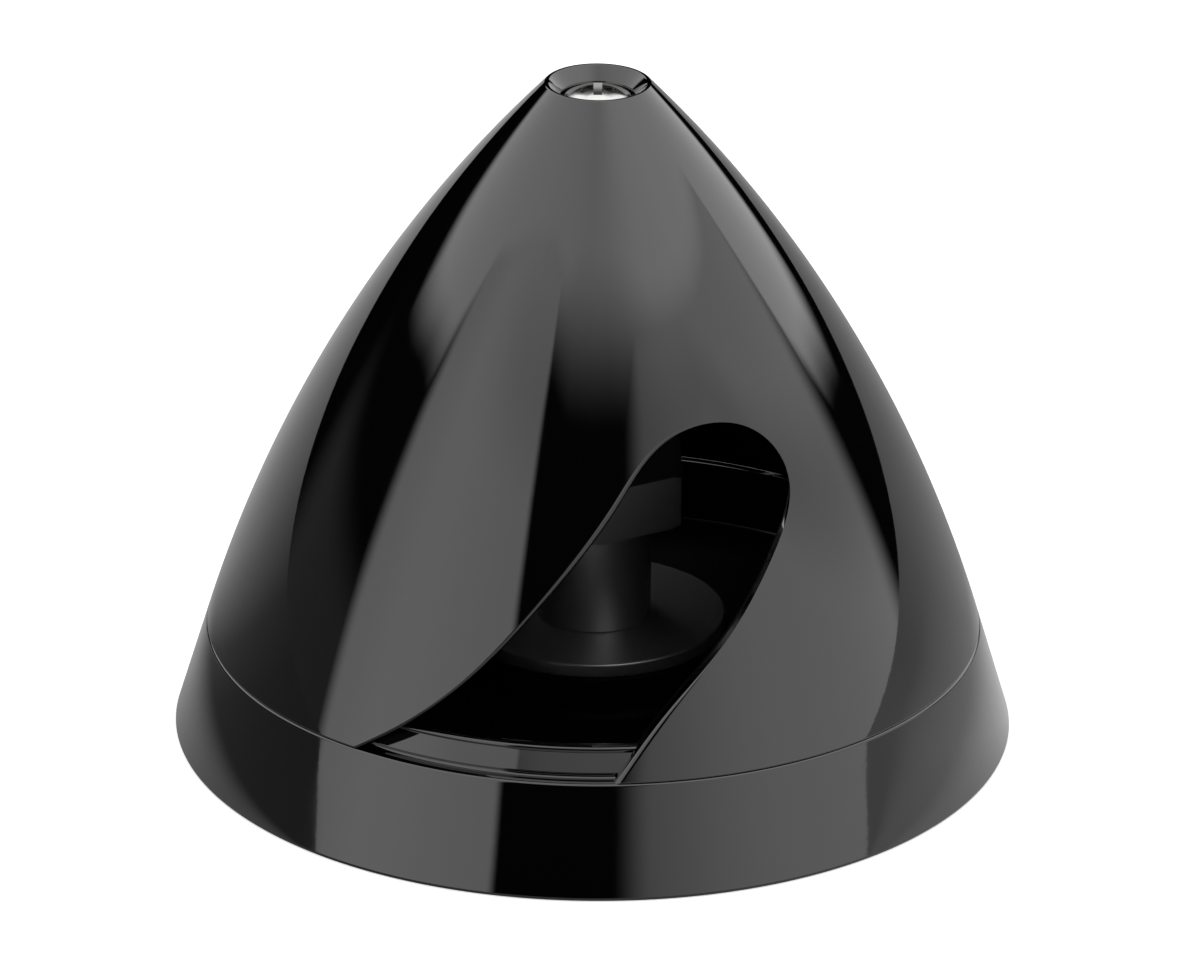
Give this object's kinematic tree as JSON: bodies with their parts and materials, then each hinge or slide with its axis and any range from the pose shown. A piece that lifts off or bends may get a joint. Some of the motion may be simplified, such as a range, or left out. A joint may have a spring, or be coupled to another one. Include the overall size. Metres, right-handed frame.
{
  "type": "propeller spinner",
  "caption": "Glossy black two-blade propeller spinner: ogive cone with slanted blade openings on a ribbed backplate, held by a nose screw in a hexagonal adapter nut.",
  "frame": {"origin": "centre of the rear rim, on the plane that the spinner stands on", "axes": "+Z along the propeller shaft towards the nose, one blade opening faces -Y and the other +Y"},
  "size_m": [0.0696, 0.0696, 0.0567],
  "materials": {
    "black_plastic": "polished moulded black",
    "plated_screw": "bright nickel plating",
    "turned_steel": "plain turned steel",
    "natural_plastic": "natural moulded nylon"
  },
  "bodies": {
    "root": {"spinner_cone": "black_plastic", "backplate": "black_plastic", "nose_screw": "plated_screw", "adapter_nut": "turned_steel", "prop_washer": "turned_steel", "shaft_bushing": "natural_plastic"}
  },
  "joints": []
}
